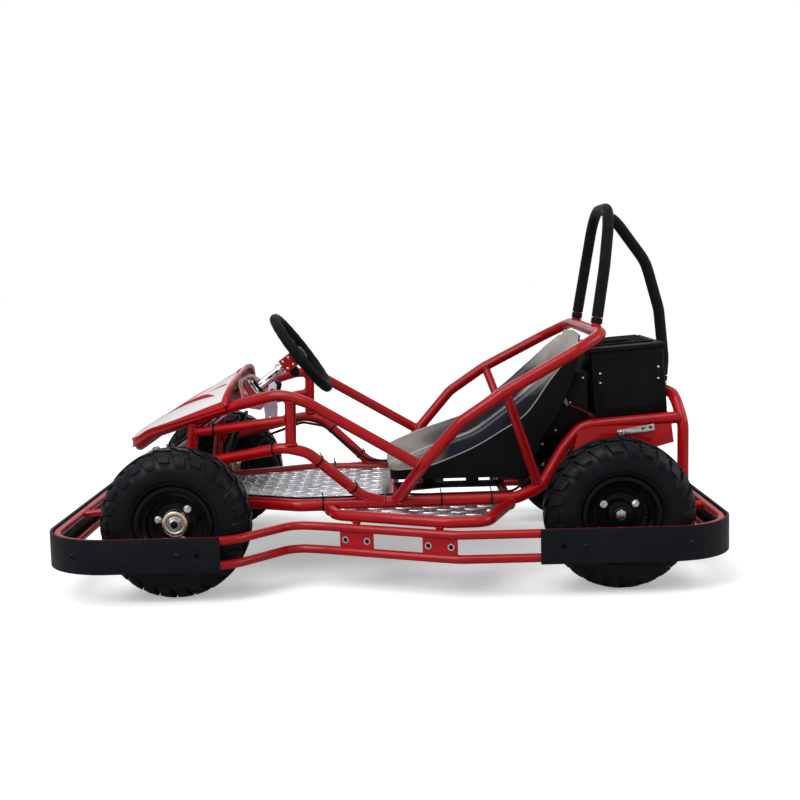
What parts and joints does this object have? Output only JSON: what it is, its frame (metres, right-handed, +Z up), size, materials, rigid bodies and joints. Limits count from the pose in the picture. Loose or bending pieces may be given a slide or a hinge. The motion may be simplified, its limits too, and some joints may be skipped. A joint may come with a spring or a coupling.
{
  "type": "electric go-kart",
  "caption": "Low single-seat electric kart on knobby tyres, with a tube frame, wrap-round bumper, bucket seat, nose cover, roll bar and rear battery box.",
  "frame": {"origin": "on the ground under the middle of the kart's overall box", "axes": "+X towards the nose, +Y to the rider's left, +Z up"},
  "size_m": [1.5056, 0.9506, 0.8473],
  "materials": {
    "red_frame": "gloss",
    "black_rim": "satin",
    "black_motor": "satin",
    "black_plastic": "matte",
    "black_rubber": "matte",
    "tyre": "matte",
    "steel": "satin",
    "zinc": "satin",
    "tread": "satin",
    "white_cover": "gloss",
    "battery_wrap": "gloss"
  },
  "bodies": {
    "chassis": {"axle_beam": "red_frame", "battery_box": "black_plastic", "battery_lid": "black_plastic", "battery_pack": "battery_wrap", "brake_cable": "black_rubber", "brake_caliper": "black_motor", "bumper_ring_lower": "red_frame", "bumper_ring_upper": "red_frame", "chain": "steel", "column_support": "red_frame", "controller_box": "black_plastic", "cowl": "white_cover", "dash_plate": "red_frame", "floor_plate": "tread", "front_bumper_band": "black_rubber", "left_axle_plate": "red_frame", "left_main_rail": "red_frame", "left_side_frame": "red_frame", "left_step_plate": "tread", "left_step_rail": "red_frame", "motor": "black_motor", "motor_mount": "red_frame", "rack_tray": "red_frame", "rear_arch": "red_frame", "rear_bumper_band": "black_rubber", "rear_stay_foam": "black_rubber", "right_axle_plate": "red_frame", "right_main_rail": "red_frame", "right_side_frame": "red_frame", "right_step_plate": "tread", "right_step_rail": "red_frame", "roll_bar": "red_frame", "roll_bar_foam": "black_rubber", "seat_frame": "red_frame", "seat_hoop": "red_frame", "seat_shell": "black_plastic", "switch_bracket": "steel", "top_rail": "red_frame"},
    "steering": {"steering_wheel": "black_rubber", "steering_column": "steel"},
    "left_steering_knuckle": {"left_knuckle": "red_frame"},
    "right_steering_knuckle": {"right_knuckle": "red_frame"},
    "left_track_rod": {"left_tie_rod": "steel"},
    "right_track_rod": {"right_tie_rod": "steel"},
    "front_left_wheel": {"front_left_hub": "zinc", "front_left_rim": "black_rim", "front_left_tyre": "tyre"},
    "front_right_wheel": {"front_right_hub": "zinc", "front_right_rim": "black_rim", "front_right_tyre": "tyre"},
    "rear_axle_set": {"rear_axle": "steel", "rear_left_rim": "black_rim", "rear_left_tyre": "tyre", "rear_right_rim": "black_rim", "rear_right_tyre": "tyre", "brake_disc": "steel", "driven_sprocket": "steel"},
    "motor_pinion": {"motor_sprocket": "steel"},
    "brake_pedal_arm": {"brake_pedal": "black_plastic"},
    "accelerator_pedal_arm": {"accelerator_pedal": "black_plastic"}
  },
  "joints": [
    {"name": "steering_turn", "type": "hinge", "parent": "chassis", "child": "steering", "pos_m": [0.2095, 0, 0.505], "axis": [0.809, 0, -0.5878], "range_deg": [-30, 30]},
    {"name": "left_knuckle_turn", "type": "hinge", "parent": "chassis", "child": "left_steering_knuckle", "pos_m": [0.4665, 0.262, 0.165], "axis": [0, 0, 1], "range_deg": [-11.4, 11.4]},
    {"name": "left_track_rod_turn", "type": "hinge", "parent": "left_steering_knuckle", "child": "left_track_rod", "pos_m": [0.5435, 0.262, 0.213], "axis": [0, 0, 1], "range_deg": [-11.4, 11.4]},
    {"name": "front_left_wheel_spin", "type": "hinge", "parent": "left_steering_knuckle", "child": "front_left_wheel", "pos_m": [0.4665, 0.362, 0.165], "axis": [0, 1, 0], "continuous": true},
    {"name": "right_knuckle_turn", "type": "hinge", "parent": "chassis", "child": "right_steering_knuckle", "pos_m": [0.4665, -0.262, 0.165], "axis": [0, 0, 1], "range_deg": [-11.4, 11.4]},
    {"name": "right_track_rod_turn", "type": "hinge", "parent": "right_steering_knuckle", "child": "right_track_rod", "pos_m": [0.5435, -0.262, 0.213], "axis": [0, 0, 1], "range_deg": [-11.4, 11.4]},
    {"name": "front_right_wheel_spin", "type": "hinge", "parent": "right_steering_knuckle", "child": "front_right_wheel", "pos_m": [0.4665, -0.362, 0.165], "axis": [0, 1, 0], "continuous": true},
    {"name": "rear_axle_spin", "type": "hinge", "parent": "chassis", "child": "rear_axle_set", "pos_m": [-0.5035, 0, 0.165], "axis": [0, 1, 0], "continuous": true},
    {"name": "motor_spin", "type": "hinge", "parent": "chassis", "child": "motor_pinion", "pos_m": [-0.4, -0.095, 0.245], "axis": [0, 1, 0], "continuous": true},
    {"name": "brake_press", "type": "hinge", "parent": "chassis", "child": "brake_pedal_arm", "pos_m": [0.425, 0.1, 0.203], "axis": [0, 1, 0], "range_deg": [0, 20], "stiffness_Nm_per_rad": 3},
    {"name": "accelerator_press", "type": "hinge", "parent": "chassis", "child": "accelerator_pedal_arm", "pos_m": [0.425, -0.1, 0.203], "axis": [0, 1, 0], "range_deg": [0, 20], "stiffness_Nm_per_rad": 3}
  ],
  "couplings": [
    {"joint": "left_knuckle_turn", "follows": "steering_turn", "ratio": -0.38},
    {"joint": "right_knuckle_turn", "follows": "steering_turn", "ratio": -0.38},
    {"joint": "left_track_rod_turn", "follows": "steering_turn", "ratio": 0.38},
    {"joint": "right_track_rod_turn", "follows": "steering_turn", "ratio": 0.38},
    {"joint": "motor_spin", "follows": "rear_axle_spin", "ratio": 4}
  ]
}
